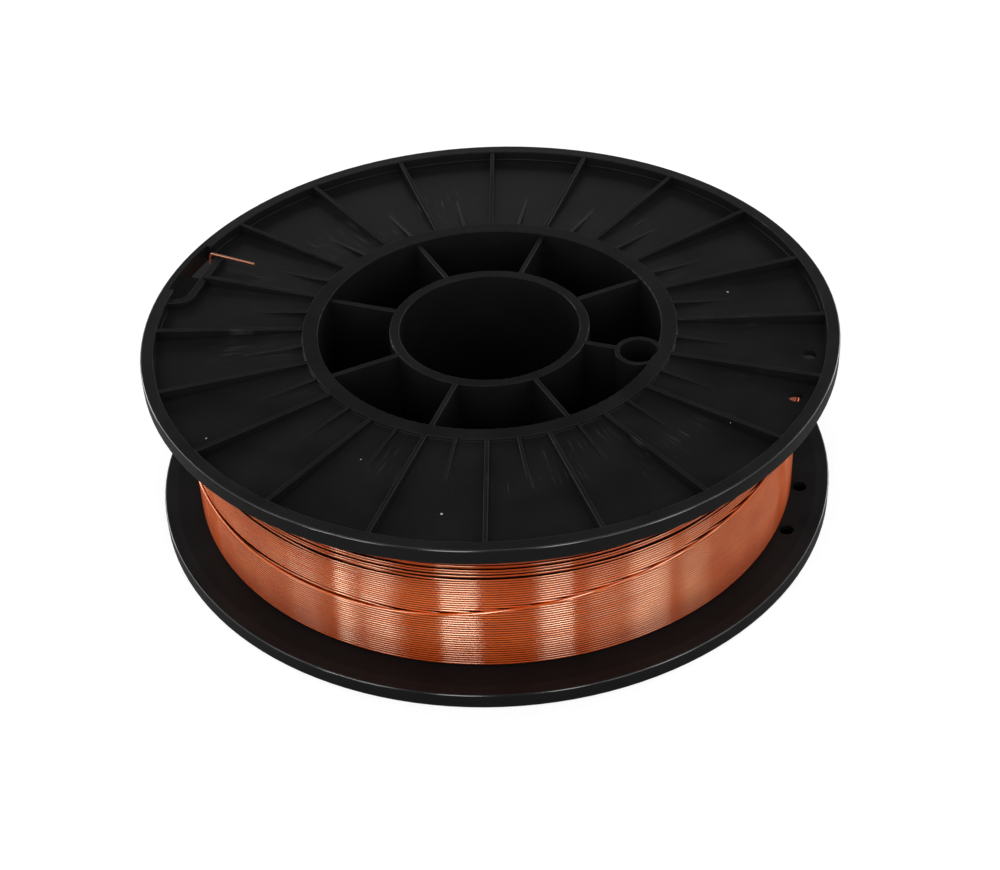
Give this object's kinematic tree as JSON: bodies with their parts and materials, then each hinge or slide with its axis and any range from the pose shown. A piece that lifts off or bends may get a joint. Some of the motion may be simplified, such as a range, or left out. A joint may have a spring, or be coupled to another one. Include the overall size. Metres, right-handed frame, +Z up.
{
  "type": "mig welding wire spool",
  "caption": "Plastic flanged spool with a central spindle bore and a drive-pin hole, ribbed outer faces and a wire clip, wound full with copper-coated welding wire",
  "frame": {"origin": "centre of the lower flange's outer face, on the surface that the spool lies on", "axes": "+Z up along the spindle bore; the camera of the picture stands on the -Y side"},
  "size_m": [0.198, 0.198, 0.055],
  "materials": {
    "spool_plastic": "moulded black polystyrene, satin",
    "copper_coated_wire": "bright drawn steel wire with a thin copper coat"
  },
  "bodies": {
    "root": {"spool": "spool_plastic", "wire_winding": "copper_coated_wire", "wire_end": "copper_coated_wire"}
  },
  "joints": []
}
